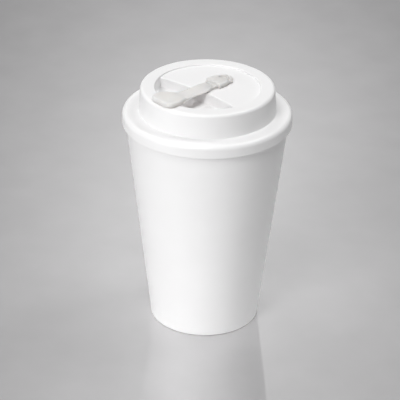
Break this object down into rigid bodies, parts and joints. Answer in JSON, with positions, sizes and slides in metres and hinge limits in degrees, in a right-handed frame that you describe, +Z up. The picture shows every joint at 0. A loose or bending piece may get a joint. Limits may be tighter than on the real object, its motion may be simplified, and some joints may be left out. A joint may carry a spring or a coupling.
{
  "type": "double wall plastic cup",
  "caption": "Tapered double wall plastic cup with a push-on lid, finger recess, sip slot and a fold-back silicone stopper.",
  "frame": {"origin": "centre of the foot ring's resting plane, under the cup's axis", "axes": "+Z up along the cup's axis, -Y towards the sip slot, +X to the right of a drinker who faces +Y"},
  "size_m": [0.0969, 0.0968, 0.1488],
  "materials": {
    "shell_plastic": "satin moulded",
    "liner_plastic": "satin moulded",
    "lid_plastic": "satin moulded",
    "silicone": "soft translucent silicone"
  },
  "bodies": {
    "cup": {"outer_shell": "shell_plastic", "inner_cup": "liner_plastic"},
    "lid": {"lid": "lid_plastic", "lid_seal": "silicone", "stopper_anchor": "silicone"},
    "stopper": {"stopper": "silicone"}
  },
  "joints": [
    {"name": "lid_lift", "type": "slide", "parent": "cup", "child": "lid", "axis": [0, 0, 1], "range_m": [0, 0.06]},
    {"name": "stopper_fold", "type": "hinge", "parent": "lid", "child": "stopper", "pos_m": [0, 0.0014, 0.1468], "axis": [-1, 0, 0], "range_deg": [0, 120]}
  ]
}
